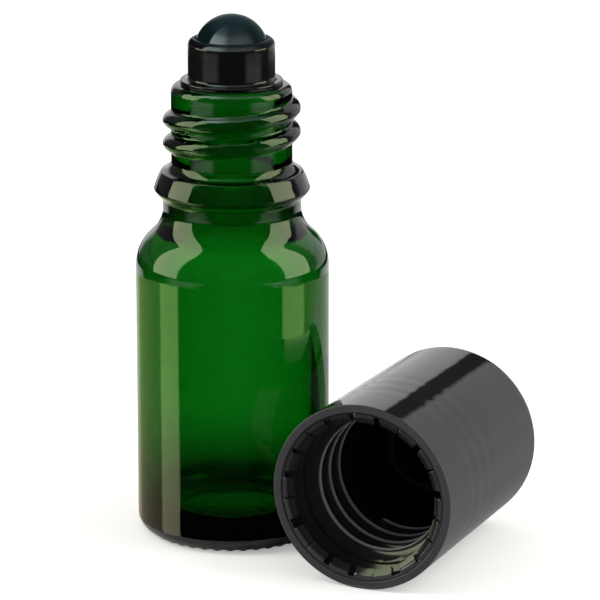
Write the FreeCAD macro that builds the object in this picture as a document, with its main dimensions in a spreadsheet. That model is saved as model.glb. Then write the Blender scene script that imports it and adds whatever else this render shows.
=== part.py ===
import FreeCAD
import Part
import Sketcher
import math
import os

# Roll-on bottle, millimetres, +Z up. The origin is on the table under the middle of the glass base.
# The bottle stands open, and its screw cap lies on its side along Y, next to the glass, mouth towards -Y.

DIMENSIONS = {
    # glass, from the base up
    "glass_height": 58.5,
    "body_radius": 12.3,
    "glass_wall": 2.2,
    "heel_radius": 2.1,
    "bearing_width": 1.6,
    "dome_height": 1.6,
    "base_thickness": 2.8,
    "inner_heel_radius": 3.0,
    "shoulder_round": 5.5,
    "shoulder_hollow": 4.3,
    "inner_round": 4.0,
    "inner_hollow": 5.0,
    "rib_count": 40,
    "rib_height": 0.2,
    "rib_width": 0.8,
    "rib_root": 0.3,
    # glass neck, from the lip down
    "lip_round": 0.95,
    "bore_radius": 5.4,
    "bore_round": 0.4,
    "neck_wall": 2.25,
    "finish_length": 10.05,
    "bead_flare": 1.1,
    "bead_side": 2.35,
    "bead_under": 1.15,
    "bead_lip": 1.1,
    "bead_taper": 0.9,
    "bead_side_round": 4.0,
    "bead_under_round": 1.6,
    "lower_neck_length": 1.25,
    "lower_neck_step": 1.15,
    "thread_pitch": 3.0,
    "thread_height": 1.06,
    "thread_width": 2.3,
    "thread_crest_width": 1.7,
    "thread_crest_height": 0.5,
    "thread_low_gap": 2.19,
    "thread_high_gap": 2.31,
    "thread_start_angle": 170.0,
    # ball and its holder
    "ball_radius": 4.75,
    "ball_height": 4.1,
    "ball_clearance": 0.12,
    "lip_bite": 0.2,
    "housing_wall": 0.63,
    "housing_round": 0.85,
    "housing_fillet": 0.4,
    "flange_lip": 0.41,
    "flange_thickness": 0.62,
    "split_drop": 2.0,
    "collar_wall": 0.61,
    "plug_rim": 0.65,
    "plug_rim_thickness": 0.35,
    "plug_length": 8.0,
    "plug_wall": 0.75,
    "plug_chamfer": 0.3,
    "seal_rib": 0.25,
    "seal_rib_width": 0.9,
    "seal_rib_count": 3,
    "feed_hole_radius": 2.1,
    "seat_thickness": 1.0,
    # screw cap and the ring of flaps in its mouth
    "ball_room": 5.65,
    "cap_draft": 0.23,
    "cap_round": 2.2,
    "cap_top": 1.5,
    "cap_rim": 1.0,
    "cap_inner_round": 1.5,
    "mouth_clearance": 0.2,
    "mouth_cone": 0.8,
    "cap_thread_clearance": 1.19,
    "cap_thread_height": 1.55,
    "cap_thread_width": 2.2,
    "cap_thread_gap": 0.9,
    "seal_ring_wall": 0.9,
    "seal_ring_gap": 0.3,
    "cap_gap": 0.5,
    "flap_room": 0.9,
    "flap_bite": 0.2,
    "flap_thickness": 0.35,
    "flap_length": 1.2,
    "flap_count": 20,
    "flap_angle": 12.5,
    "ring_inset": 0.2,
    "ring_height": 1.2,
    "ring_wall": 0.3,
}


class Size:
    """A size worked out from the sheet: its number now and the formula that keeps it."""

    def __init__(self, number, formula):
        self.number = number
        self.formula = formula

    def __add__(self, other):
        other = as_size(other)
        return Size(self.number + other.number, f"({self.formula} + {other.formula})")

    def __sub__(self, other):
        other = as_size(other)
        return Size(self.number - other.number, f"({self.formula} - {other.formula})")

    def __mul__(self, other):
        other = as_size(other)
        return Size(self.number * other.number, f"({self.formula} * {other.formula})")

    def __truediv__(self, other):
        other = as_size(other)
        return Size(self.number / other.number, f"({self.formula} / {other.formula})")


def as_size(value):
    if isinstance(value, Size):
        return value
    return Size(float(value), repr(float(value)))


def root(size):
    return Size(math.sqrt(size.number), f"sqrt({size.formula})")


def larger(first, second):
    return Size(max(first.number, second.number), f"max({first.formula}; {second.formula})")


def point_at_turns(radius, turns):
    """The place on a circle about Z that lies this many turns from X."""
    angle = turns.number * 2 * math.pi
    across = radius * Size(math.cos(angle), f"cos({turns.formula} * 360 deg)")
    along = radius * Size(math.sin(angle), f"sin({turns.formula} * 360 deg)")
    return across, along


def leg(long_side, short_side):
    """The other short side of a right-angled triangle."""
    return root(long_side * long_side - short_side * short_side)


def arc_radius(half_chord, height):
    """The radius of an arc that stands this high over its chord."""
    return (half_chord * half_chord + height * height) / (height * 2)


doc = FreeCAD.newDocument("RollOnBottle")
sheet = doc.addObject("Spreadsheet::Sheet", "Sizes")
for row, (alias, number) in enumerate(DIMENSIONS.items(), start=1):
    sheet.set(f"A{row}", alias)
    sheet.set(f"B{row}", str(number))
    sheet.setAlias(f"B{row}", alias)
doc.recompute()


def size(alias):
    return Size(float(DIMENSIONS[alias]), f"Sizes.{alias}")


def new_body(label):
    body = doc.addObject("PartDesign::Body", label)
    body.Label = label
    return body


def plane_sketch(body, name, plane):
    sketch = body.newObject("Sketcher::SketchObject", name)
    support = [item for item in body.Origin.OriginFeatures if item.Role == plane][0]
    sketch.AttachmentSupport = (support, [""])
    sketch.MapMode = "FlatFace"
    return sketch


def draw_outline(sketch, corners):
    """Draw a closed outline whose corners are (across, up) or (across, up, arc).

    The third value rounds the way to the next corner: its radius, and whether the arc runs counterclockwise.
    """
    handles = []
    radii = []
    for index, corner in enumerate(corners):
        following = corners[(index + 1) % len(corners)]
        start = FreeCAD.Vector(corner[0].number, corner[1].number, 0)
        end = FreeCAD.Vector(following[0].number, following[1].number, 0)
        if len(corner) == 2:
            handles.append((sketch.addGeometry(Part.LineSegment(start, end)), 1, 2))
            continue
        radius, counterclockwise = corner[2]
        chord = end - start
        offset = math.sqrt(max(radius.number ** 2 - chord.Length ** 2 / 4, 0))
        normal = FreeCAD.Vector(-chord.y, chord.x, 0)
        normal.normalize()
        centre = (start + end) / 2 + normal * (offset if counterclockwise else -offset)
        first, last = (start, end) if counterclockwise else (end, start)
        first_angle = math.atan2(first.y - centre.y, first.x - centre.x)
        last_angle = math.atan2(last.y - centre.y, last.x - centre.x)
        circle = Part.Circle(centre, FreeCAD.Vector(0, 0, 1), radius.number)
        arc = sketch.addGeometry(Part.ArcOfCircle(circle, first_angle, last_angle))
        handles.append((arc, 1, 2) if counterclockwise else (arc, 2, 1))
        radii.append((arc, radius))
    for index, (geometry, _, end_point) in enumerate(handles):
        following, start_point, _ = handles[(index + 1) % len(handles)]
        sketch.addConstraint(Sketcher.Constraint("Coincident", geometry, end_point, following, start_point))
    for (geometry, start_point, _), corner in zip(handles, corners):
        bind_distance(sketch, "DistanceX", -2, geometry, start_point, corner[0])
        bind_distance(sketch, "DistanceY", -1, geometry, start_point, corner[1])
    for geometry, radius in radii:
        index = sketch.addConstraint(Sketcher.Constraint("Radius", geometry, radius.number))
        sketch.setExpression(f"Constraints[{index}]", radius.formula)


def bind_distance(sketch, kind, axis, geometry, point, distance):
    if distance.number == 0:
        sketch.addConstraint(Sketcher.Constraint("PointOnObject", geometry, point, axis))
        return
    index = sketch.addConstraint(Sketcher.Constraint(kind, -1, 1, geometry, point, distance.number))
    sketch.setExpression(f"Constraints[{index}]", distance.formula)


def draw_rectangle(sketch, near, far, half_width):
    """A rectangle across the X axis of a sketch, from near to far."""
    left, right = near.number, far.number
    low, high = -half_width.number, half_width.number
    points = [FreeCAD.Vector(*point, 0) for point in ((left, low), (right, low), (right, high), (left, high))]
    sides = [sketch.addGeometry(Part.LineSegment(points[i], points[(i + 1) % 4])) for i in range(4)]
    for index, side in enumerate(sides):
        sketch.addConstraint(Sketcher.Constraint("Coincident", side, 2, sides[(index + 1) % 4], 1))
    for side in (sides[0], sides[2]):
        sketch.addConstraint(Sketcher.Constraint("Horizontal", side))
    sketch.addConstraint(Sketcher.Constraint("Vertical", sides[3]))
    sketch.addConstraint(Sketcher.Constraint("Symmetric", sides[0], 2, sides[1], 2, -1))
    bind_distance(sketch, "DistanceX", -2, sides[0], 1, near)
    bind_distance(sketch, "DistanceX", -2, sides[0], 2, far)
    width = half_width * 2
    index = sketch.addConstraint(Sketcher.Constraint("DistanceY", sides[1], 1, sides[1], 2, width.number))
    sketch.setExpression(f"Constraints[{index}]", width.formula)


def turned(body, name, corners, angle=None):
    """A solid turned about Z from an outline of (radius, height) corners."""
    sketch = plane_sketch(body, name + "_outline", "XZ_Plane")
    draw_outline(sketch, corners)
    solid = body.newObject("PartDesign::Revolution", name)
    solid.Profile = sketch
    solid.ReferenceAxis = (sketch, ["V_Axis"])
    solid.Angle = 360.0
    if angle is not None:
        solid.setExpression("Angle", angle.formula)
    doc.recompute()
    return solid


def wound_thread(body, name, corners, pitch, turns):
    """A right-handed thread: an outline of (radius, height) corners wound up about Z."""
    sketch = plane_sketch(body, name + "_outline", "XZ_Plane")
    draw_outline(sketch, corners)
    doc.recompute()
    thread = body.newObject("PartDesign::AdditiveHelix", name)
    thread.Profile = sketch
    thread.ReferenceAxis = (sketch, ["V_Axis"])
    thread.Mode = "pitch-turns-angle"
    thread.setExpression("Pitch", pitch.formula)
    thread.setExpression("Turns", turns.formula)
    doc.recompute()
    return thread


def ring_of(body, name, feature, count):
    """Repeat a feature evenly round Z."""
    vertical = [item for item in body.Origin.OriginFeatures if item.Role == "Z_Axis"][0]
    pattern = body.newObject("PartDesign::PolarPattern", name)
    pattern.Originals = [feature]
    pattern.Axis = (vertical, [""])
    pattern.Angle = 360.0
    pattern.setExpression("Occurrences", count.formula)
    body.Tip = pattern
    doc.recompute()
    return pattern


ZERO = as_size(0)
LEFT, RIGHT = True, False

# Radii and heights that several pieces share
neck_radius = size("bore_radius") + size("neck_wall")
lower_neck_radius = neck_radius + size("lower_neck_step")
bead_radius = lower_neck_radius + size("bead_lip")
glass_lip = size("glass_height")
neck_foot = glass_lip - size("finish_length")
bead_top = neck_foot - size("bead_flare")
bead_corner = bead_top - size("bead_side")
bead_foot = bead_corner - size("bead_under")
shoulder_top = bead_foot - size("lower_neck_length")
ball_centre = glass_lip + size("ball_height")
cup_radius = size("ball_radius") + size("ball_clearance")
housing_radius = cup_radius + size("housing_wall")
collar_radius = leg(cup_radius, size("split_drop")) + size("collar_wall")
split_height = ball_centre - size("split_drop")
lip_opening = size("ball_radius") - size("lip_bite")
housing_top = ball_centre + leg(cup_radius, lip_opening)
plug_rim_radius = larger(size("bore_radius"), collar_radius) + size("plug_rim")
plug_rim_top = glass_lip + size("plug_rim_thickness")


def s_curve(low_radius, low_height, high_radius, round_radius, hollow_radius):
    """The join and the upper end of a shoulder: a round, then a hollow, each tangent to the walls."""
    inset = low_radius - high_radius
    reach = round_radius + hollow_radius
    rise = leg(reach, reach - inset)
    join = (low_radius - inset * round_radius / reach, low_height + rise * round_radius / reach)
    return join, rise


def neck_thread(body):
    """The raised thread on the neck, with both its ends rounded off."""
    pitch = size("thread_pitch")
    height = size("thread_height")
    thread_foot = neck_foot + size("thread_low_gap")
    turns = (size("finish_length") - size("thread_low_gap") - size("thread_high_gap")) / pitch
    half_width = size("thread_width") / 2
    half_crest = size("thread_crest_width") / 2
    crest_height = size("thread_crest_height")
    crest_foot = neck_radius + height - crest_height
    inside_neck = neck_radius - height / 2
    wound_thread(body, "neck_thread", [
        (inside_neck, thread_foot - half_width),
        (neck_radius, thread_foot - half_width),
        (crest_foot, thread_foot - half_crest, (arc_radius(half_crest, crest_height), LEFT)),
        (crest_foot, thread_foot + half_crest),
        (neck_radius, thread_foot + half_width),
        (inside_neck, thread_foot + half_width),
    ], pitch, turns)
    for name, turn in (("thread_start", ZERO), ("thread_end", turns)):
        across, along = point_at_turns(neck_radius, turn)
        knob = body.newObject("PartDesign::AdditiveSphere", name)
        knob.setExpression("Radius", height.formula)
        knob.setExpression("Placement.Base.x", across.formula)
        knob.setExpression("Placement.Base.y", along.formula)
        knob.setExpression("Placement.Base.z", (thread_foot + pitch * turn).formula)
        doc.recompute()


def glass_bottle():
    body = new_body("glass_bottle")
    body_radius = size("body_radius")
    foot = size("rib_height")
    bearing_outer = body_radius - size("heel_radius")
    bearing_inner = bearing_outer - size("bearing_width")
    dome = size("dome_height")
    dome_radius = arc_radius(bearing_inner, dome)
    outer_round, outer_hollow = size("shoulder_round"), size("shoulder_hollow")
    _, rise = s_curve(body_radius, ZERO, lower_neck_radius, outer_round, outer_hollow)
    body_top = shoulder_top - rise
    shoulder_join, _ = s_curve(body_radius, body_top, lower_neck_radius, outer_round, outer_hollow)
    inner_radius = body_radius - size("glass_wall")
    bore = size("bore_radius")
    inner_round, inner_hollow = size("inner_round"), size("inner_hollow")
    inner_join, inner_rise = s_curve(inner_radius, body_top, bore, inner_round, inner_hollow)
    inner_heel = size("inner_heel_radius")
    floor = foot + size("base_thickness")
    floor_edge = inner_radius - inner_heel
    floor_middle = floor + dome
    floor_dome_radius = arc_radius(floor_edge, dome)
    lip_round, bore_round = size("lip_round"), size("bore_round")
    turned(body, "glass", [
        (ZERO, foot + dome, (dome_radius, RIGHT)),
        (bearing_inner, foot),
        (bearing_outer, foot, (size("heel_radius"), LEFT)),
        (body_radius, foot + size("heel_radius")),
        (body_radius, body_top, (outer_round, LEFT)),
        (*shoulder_join, (outer_hollow, RIGHT)),
        (lower_neck_radius, shoulder_top),
        (lower_neck_radius, bead_foot, (size("bead_under_round"), LEFT)),
        (bead_radius, bead_corner, (size("bead_side_round"), LEFT)),
        (bead_radius - size("bead_taper"), bead_top),
        (neck_radius, neck_foot),
        (neck_radius, glass_lip - lip_round, (lip_round, LEFT)),
        (neck_radius - lip_round, glass_lip),
        (bore + bore_round, glass_lip, (bore_round, LEFT)),
        (bore, glass_lip - bore_round),
        (bore, body_top + inner_rise, (inner_hollow, LEFT)),
        (*inner_join, (inner_round, RIGHT)),
        (inner_radius, body_top),
        (inner_radius, floor + inner_heel, (inner_heel, RIGHT)),
        (floor_edge, floor, (floor_dome_radius, LEFT)),
        (ZERO, floor_middle),
    ])
    rib_sketch = plane_sketch(body, "base_rib_outline", "XY_Plane")
    half_rib = size("rib_width") / 2
    rib_outer = bearing_outer + size("rib_root")
    rib_inner = bearing_inner + size("rib_root")
    draw_rectangle(rib_sketch, rib_inner, rib_outer, half_rib)
    rib = body.newObject("PartDesign::Pad", "base_rib")
    rib.Profile = rib_sketch
    rib.setExpression("Length", (foot + size("rib_root")).formula)
    doc.recompute()
    ring_of(body, "base_ribs", rib, size("rib_count"))
    neck_thread(body)
    body.setExpression("Placement.Rotation.Angle", size("thread_start_angle").formula)
    return body


def roller_housing():
    body = new_body("roller_housing")
    fillet = size("housing_fillet")
    flange = larger(plug_rim_radius, housing_radius + fillet) + size("flange_lip")
    flange_top = glass_lip + size("flange_thickness")
    top_round = size("housing_round")
    turned(body, "housing", [
        (plug_rim_radius, glass_lip),
        (flange, glass_lip),
        (flange, flange_top),
        (housing_radius + fillet, flange_top, (fillet, RIGHT)),
        (housing_radius, flange_top + fillet),
        (housing_radius, housing_top - top_round, (top_round, LEFT)),
        (housing_radius - top_round, housing_top),
        (lip_opening, housing_top, (cup_radius, RIGHT)),
        (leg(cup_radius, size("split_drop")), split_height),
        (collar_radius, split_height),
        (collar_radius, plug_rim_top),
        (plug_rim_radius, plug_rim_top),
    ])
    return body


def neck_plug():
    body = new_body("neck_plug")
    feed = size("feed_hole_radius")
    seat_edge = ball_centre - leg(cup_radius, feed)
    seat_foot = seat_edge - size("seat_thickness")
    rib = size("seal_rib")
    stem = size("bore_radius") - rib
    stem_bore = stem - size("plug_wall")
    foot = glass_lip - size("plug_length")
    chamfer = size("plug_chamfer")
    corners = [
        (feed, seat_foot),
        (feed, seat_edge, (cup_radius, LEFT)),
        (leg(cup_radius, size("split_drop")), split_height),
        (collar_radius, split_height),
        (collar_radius, plug_rim_top),
        (plug_rim_radius, plug_rim_top),
        (plug_rim_radius, glass_lip),
        (stem, glass_lip),
    ]
    half_rib = size("seal_rib_width") / 2
    rib_arc = arc_radius(half_rib, rib)
    rib_count = size("seal_rib_count")
    rib_spacing = (size("plug_length") - chamfer) / (rib_count + 1)
    for number in range(1, int(rib_count.number) + 1):
        rib_middle = glass_lip - rib_spacing * number
        corners.append((stem, rib_middle + half_rib, (rib_arc, RIGHT)))
        corners.append((stem, rib_middle - half_rib))
    corners += [
        (stem, foot + chamfer),
        (stem - chamfer, foot),
        (stem_bore, foot),
        (stem_bore, seat_foot),
    ]
    turned(body, "plug", corners)
    return body


def roller_ball():
    ball = doc.addObject("Part::Sphere", "roller_ball")
    ball.Label = "roller_ball"
    ball.setExpression("Radius", size("ball_radius").formula)
    ball.setExpression("Placement.Base.z", ball_centre.formula)
    return ball


# The cap and its flap ring, drawn upright with the mouth at height zero. Screwed home, the flaps hook
# under the bead, the mouth stands at closed_mouth, and the sealing ring rests over the housing's lip.
mouth_bore = bead_radius + size("flap_room")
cap_radius = mouth_bore + size("cap_rim")
cap_bore = neck_radius + size("thread_height") + size("cap_thread_clearance")
closed_mouth = bead_corner - size("bead_under") / 2 - size("ring_inset") - size("flap_length")
mouth_cone_top = bead_top + size("mouth_clearance") - closed_mouth
cap_ceiling = ball_centre + size("ball_radius") + size("ball_room") - closed_mouth
cap_length = cap_ceiling + size("cap_top")
seal_ring_end = housing_top - closed_mouth + size("seal_ring_gap")


def cap():
    body = new_body("cap")
    edge = size("cap_round")
    side_share = (cap_length - edge) / cap_length
    edge_radius = cap_radius - size("cap_draft") * side_share
    inner_edge = size("cap_inner_round")
    ring_inner = housing_radius - size("housing_round")
    ring_outer = ring_inner + size("seal_ring_wall")
    turned(body, "cap_shell", [
        (mouth_bore, ZERO),
        (cap_radius, ZERO),
        (edge_radius, cap_length - edge, (edge, LEFT)),
        (edge_radius - edge, cap_length),
        (ZERO, cap_length),
        (ZERO, cap_ceiling),
        (ring_inner, cap_ceiling),
        (ring_inner, seal_ring_end),
        (ring_outer, seal_ring_end),
        (ring_outer, cap_ceiling),
        (cap_bore - inner_edge, cap_ceiling, (inner_edge, RIGHT)),
        (cap_bore, cap_ceiling - inner_edge),
        (cap_bore, mouth_cone_top),
        (mouth_bore, mouth_cone_top - size("mouth_cone")),
    ])
    pitch = size("thread_pitch")
    thread_foot = mouth_cone_top + size("cap_thread_gap")
    turns = (glass_lip - closed_mouth - thread_foot) / pitch
    half_base = size("cap_thread_width") / 2
    half_tip = half_base / 2
    crest = cap_bore - size("cap_thread_height")
    inside_wall = cap_bore + size("cap_rim") / 2
    wound_thread(body, "cap_thread", [
        (inside_wall, thread_foot + half_base),
        (cap_bore, thread_foot + half_base),
        (crest, thread_foot + half_tip),
        (crest, thread_foot - half_tip),
        (cap_bore, thread_foot - half_base),
        (inside_wall, thread_foot - half_base),
    ], pitch, turns)
    return body


def flap_ring():
    body = new_body("flap_ring")
    inset = size("ring_inset")
    band_inner = mouth_bore - size("ring_wall")
    turned(body, "band", [
        (band_inner, inset),
        (mouth_bore, inset),
        (mouth_bore, inset + size("ring_height")),
        (band_inner, inset + size("ring_height")),
    ])
    tip = bead_radius - size("flap_bite")
    thickness = size("flap_thickness")
    flap = turned(body, "flap", [
        (band_inner + size("ring_wall") / 2, inset),
        (band_inner + size("ring_wall") / 2, inset + thickness * 2),
        (tip, inset + size("flap_length")),
        (tip - thickness, inset + size("flap_length") - thickness),
        (band_inner - thickness, inset),
    ], angle=size("flap_angle"))
    ring_of(body, "flaps", flap, size("flap_count"))
    return body


def lay_on_side(body):
    """Lay the upright cap down beside the glass, with its tapered wall flat on the table."""
    draft = size("cap_draft")
    tilt = math.atan2(draft.number, cap_length.number)
    slant = root(cap_length * cap_length + draft * draft)
    body.Placement.Rotation = FreeCAD.Rotation(FreeCAD.Vector(1, 0, 0), -90 - math.degrees(tilt))
    body.setExpression("Placement.Base.x", (size("body_radius") + size("cap_gap") + cap_radius).formula)
    body.setExpression("Placement.Base.y", (ZERO - cap_length / 2).formula)
    body.setExpression("Placement.Base.z", (cap_radius * cap_length / slant).formula)


pieces = [glass_bottle(), neck_plug(), roller_housing(), roller_ball(), cap(), flap_ring()]
for piece in pieces[-2:]:
    lay_on_side(piece)
doc.recompute()

for item in doc.Objects:
    if "Invalid" in item.State or "Error" in item.State:
        raise RuntimeError(f"{item.Name} failed: {item.State}")
for piece in pieces:
    if piece.Shape.isNull() or not piece.Shape.isValid() or len(piece.Shape.Solids) != 1:
        raise RuntimeError(f"{piece.Label} is not one valid solid")

os.makedirs("parts", exist_ok=True)
for piece in pieces:
    piece.Shape.exportStep(f"parts/{piece.Label}.step")
    box = piece.Shape.optimalBoundingBox()
    print(f"{piece.Label}: {piece.Shape.Volume:.1f} mm3, "
          f"x {box.XMin:.2f} to {box.XMax:.2f}, y {box.YMin:.2f} to {box.YMax:.2f}, "
          f"z {box.ZMin:.2f} to {box.ZMax:.2f}")
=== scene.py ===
import math

import bmesh
import bpy
from mathutils import Matrix, Vector


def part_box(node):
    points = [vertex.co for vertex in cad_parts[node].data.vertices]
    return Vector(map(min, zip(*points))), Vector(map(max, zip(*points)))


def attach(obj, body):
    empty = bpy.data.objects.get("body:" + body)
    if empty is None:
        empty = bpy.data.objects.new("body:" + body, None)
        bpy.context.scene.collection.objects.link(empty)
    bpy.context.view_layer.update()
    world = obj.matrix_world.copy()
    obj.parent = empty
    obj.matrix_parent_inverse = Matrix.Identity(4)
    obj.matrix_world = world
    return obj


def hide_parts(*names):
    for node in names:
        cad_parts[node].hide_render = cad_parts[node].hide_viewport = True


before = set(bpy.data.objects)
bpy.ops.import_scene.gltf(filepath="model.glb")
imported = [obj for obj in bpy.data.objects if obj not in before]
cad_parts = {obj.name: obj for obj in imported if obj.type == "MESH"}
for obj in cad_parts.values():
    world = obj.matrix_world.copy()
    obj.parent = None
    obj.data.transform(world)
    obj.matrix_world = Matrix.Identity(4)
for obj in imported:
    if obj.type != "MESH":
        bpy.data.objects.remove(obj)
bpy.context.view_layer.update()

# Sizes in millimetres, like the drawing of the real pieces. The largest ones are read from the solids in
# model.glb.
MM = 0.001
NEARLY_ZERO = 1e-6
LEFT, RIGHT = 1, -1

# How finely the meshes are drawn
ARC_STEP = math.radians(5)
SHARP_CORNER = math.radians(155)
CREASE = math.radians(35)
FLAP_CREASE = math.radians(40)
GLASS_EDGE = 0.22
PLASTIC_EDGE = 0.12
FLAP_EDGE = 0.05
EDGE_STEPS = 4
HOLD = 0.3
# The share of a side that a softened edge may take, where the side's other end is softened too, and where not
SHARED_ROOM = 0.45
OWN_ROOM = 0.85
# The height of the rows of points on walls that are shaped later, and how far off such a wall may be
THREAD_ROW = 0.13
RIB_ROW = 0.25
CAP_ROW = 0.3
WALL_REACH = 0.01
# Points round the axis of each turned mesh
GLASS_AROUND = 320
CAP_AROUND = 256
BAND_AROUND = 200
HOUSING_AROUND = 192
PLUG_AROUND = 128
BALL_AROUND = 128


def node_box(node):
    """The lowest and the highest corner of a solid, in millimetres."""
    low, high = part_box(node)
    return low / MM, high / MM


_, GLASS_HIGH = node_box("glass_bottle")
BALL_LOW, BALL_HIGH = node_box("roller_ball")
_, HOUSING_HIGH = node_box("roller_housing")
PLUG_LOW, PLUG_HIGH = node_box("neck_plug")
CAP_LOW, CAP_HIGH = node_box("cap")

# Glass, from the foot up
BODY_RADIUS = GLASS_HIGH.x
GLASS_LIP = GLASS_HIGH.z
GLASS_WALL = 2.2
HEEL_RADIUS = 2.1
BEARING_WIDTH = 1.6
DOME_HEIGHT = 1.6
FLOOR_DOME = 0.6
BASE_THICKNESS = 2.8
INNER_HEEL_RADIUS = 3.0
SHOULDER_ROUND = 5.5
SHOULDER_HOLLOW = 4.3
INNER_ROUND = 4.0
INNER_HOLLOW = 5.0
RIB_COUNT = 40
RIB_HEIGHT = 0.2
RIB_REACH = 0.3
RIB_INSET = 0.2
RIB_FLANK = (0.18, 0.34)

# Glass neck, from the lip down
LIP_ROUND = 0.95
BORE_RADIUS = 5.4
BORE_ROUND = 0.4
NECK_WALL = 2.25
FINISH_LENGTH = 10.05
BEAD_FLARE = 1.1
BEAD_FLARE_HOLLOW = 1.8
BEAD_SIDE = 2.35
BEAD_SIDE_ROUND = 12.0
BEAD_UNDER = 1.15
BEAD_UNDER_ROUND = 5.0
BEAD_LIP = 1.1
BEAD_TAPER = 0.9
LOWER_NECK_LENGTH = 1.25
LOWER_NECK_STEP = 1.15
NECK_RADIUS = BORE_RADIUS + NECK_WALL
LOWER_NECK_RADIUS = NECK_RADIUS + LOWER_NECK_STEP
BEAD_RADIUS = LOWER_NECK_RADIUS + BEAD_LIP
NECK_FOOT = GLASS_LIP - FINISH_LENGTH
BEAD_TOP = NECK_FOOT - BEAD_FLARE
BEAD_CORNER = BEAD_TOP - BEAD_SIDE
BEAD_FOOT = BEAD_CORNER - BEAD_UNDER
SHOULDER_TOP = BEAD_FOOT - LOWER_NECK_LENGTH
THREAD_PITCH = 3.0
THREAD_HEIGHT = 1.06
THREAD_WIDTH = 2.3
THREAD_LOW_GAP = 2.19
THREAD_HIGH_GAP = 2.31
THREAD_START = math.radians(170)
THREAD_FOOT = NECK_FOOT + THREAD_LOW_GAP
THREAD_TURNS = (GLASS_LIP - THREAD_HIGH_GAP - THREAD_FOOT) / THREAD_PITCH

# The mould's seam on the neck, and where it fades in across, outwards and upwards
SEAM_ANGLE = math.radians(-10)
SEAM_FADE_WIDTH, SEAM_HALF_WIDTH = 1.2, 0.3
SEAM_INNER, SEAM_OUTER = 6.0, 6.5
SEAM_FOOT, SEAM_FULL = 37.0, 41.0

# Ball and its holder
BALL_CLEARANCE = 0.12
BALL_SEAM = 0.02
BALL_SEAM_HALF_WIDTH = 0.12
BALL_TILT = math.radians(70)
LIP_BITE = 0.2
HOUSING_WALL = 0.63
HOUSING_ROUND = 0.85
HOUSING_FILLET = 0.4
HOUSING_AIR = 0.02
FLANGE_THICKNESS = 0.62
COLLAR_WALL = 0.61
PLUG_RIM_THICKNESS = 0.35
PLUG_WALL = 0.75
PLUG_CHAMFER = 0.3
PLUG_AIR = 0.03
SEAL_RIB = 0.25
SEAL_RIB_WIDTH = 0.9
SEAL_RIB_COUNT = 3
FEED_RADIUS = 2.1
SEAT_THICKNESS = 1.0
BALL_RADIUS = (BALL_HIGH.z - BALL_LOW.z) / 2
BALL_CENTRE = (BALL_HIGH.z + BALL_LOW.z) / 2
CUP_RADIUS = BALL_RADIUS + BALL_CLEARANCE
HOUSING_RADIUS = CUP_RADIUS + HOUSING_WALL
HOUSING_TOP = HOUSING_HIGH.z
FLANGE_RADIUS = HOUSING_HIGH.x
FLANGE_TOP = GLASS_LIP + FLANGE_THICKNESS
LIP_OPENING = BALL_RADIUS - LIP_BITE
SPLIT_HEIGHT = PLUG_HIGH.z
PLUG_FOOT = PLUG_LOW.z
PLUG_RIM_RADIUS = PLUG_HIGH.x
PLUG_RIM_TOP = GLASS_LIP + PLUG_RIM_THICKNESS
SPLIT_RADIUS = math.sqrt(CUP_RADIUS ** 2 - (BALL_CENTRE - SPLIT_HEIGHT) ** 2)
COLLAR_RADIUS = SPLIT_RADIUS + COLLAR_WALL
SEAT_EDGE = BALL_CENTRE - math.sqrt(CUP_RADIUS ** 2 - FEED_RADIUS ** 2)
STEM_RADIUS = BORE_RADIUS - SEAL_RIB
STEM_BORE = STEM_RADIUS - PLUG_WALL

# Ring of flaps in the cap's mouth
RING_INSET = 0.2
RING_WALL = 0.3
RING_HEIGHT = 1.2
RING_AIR = 0.02
FLAP_COUNT = 20
FLAP_LENGTH = 1.2
FLAP_BITE = 0.2
FLAP_TIP = BEAD_RADIUS - FLAP_BITE
FLAP_THICKNESS = 0.35
FLAP_BULGE = 0.12
FLAP_BULGE_HEIGHT = 0.62
FLAP_HOLLOW = 0.7
FLAP_HOLLOW_HEIGHT = 0.3
FLAP_ANGLE = math.radians(14.6)
FLAP_SLICES = 6
FLAP_LEAN = math.radians(2.0)
SHORTEST_FLAP = 0.7
FLAP_SEED = 7

# Cap, drawn upright from its mouth, then laid on its side
CAP_DRAFT = 0.23
CAP_RIM = 1.0
CAP_TOP = 1.5
CAP_ROUND = 2.2
CAP_INNER_ROUND = 1.5
BALL_ROOM = 5.65
MOUTH_CLEARANCE = 0.2
MOUTH_CONE = 0.8
SEAL_RING_GAP = 0.3
SEAL_RING_WALL = 0.9
CAP_THREAD_CLEARANCE = 1.19
CAP_THREAD_GAP = 0.9
CAP_THREAD_HEIGHT = 1.55
CAP_THREAD_WIDTH = 2.2
SINK_DEPTH = 0.017
CAP_RADIUS = (CAP_HIGH.x - CAP_LOW.x) / 2
MOUTH_BORE = CAP_RADIUS - CAP_RIM
CAP_BORE = NECK_RADIUS + THREAD_HEIGHT + CAP_THREAD_CLEARANCE
CLOSED_MOUTH = BEAD_CORNER - BEAD_UNDER / 2 - RING_INSET - FLAP_LENGTH
CONE_TOP = BEAD_TOP + MOUTH_CLEARANCE - CLOSED_MOUTH
CAP_CEILING = BALL_HIGH.z + BALL_ROOM - CLOSED_MOUTH
CAP_LENGTH = CAP_CEILING + CAP_TOP
SEAL_RING_END = HOUSING_TOP - CLOSED_MOUTH + SEAL_RING_GAP
SEAL_RING_INNER = HOUSING_RADIUS - HOUSING_ROUND
SEAL_RING_OUTER = SEAL_RING_INNER + SEAL_RING_WALL
CAP_THREAD_FOOT = CONE_TOP + CAP_THREAD_GAP
CAP_THREAD_TURNS = (GLASS_LIP - CLOSED_MOUTH - CAP_THREAD_FOOT) / THREAD_PITCH


def cap_placement():
    """Where the upright cap goes when it lies on the floor."""
    tilt = math.atan2(CAP_DRAFT, CAP_LENGTH)
    place = Vector(((CAP_LOW.x + CAP_HIGH.x) / 2, -CAP_LENGTH / 2, CAP_RADIUS * math.cos(tilt))) * MM
    return Matrix.Translation(place) @ Matrix.Rotation(-math.pi / 2 - tilt, 4, "X")


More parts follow.
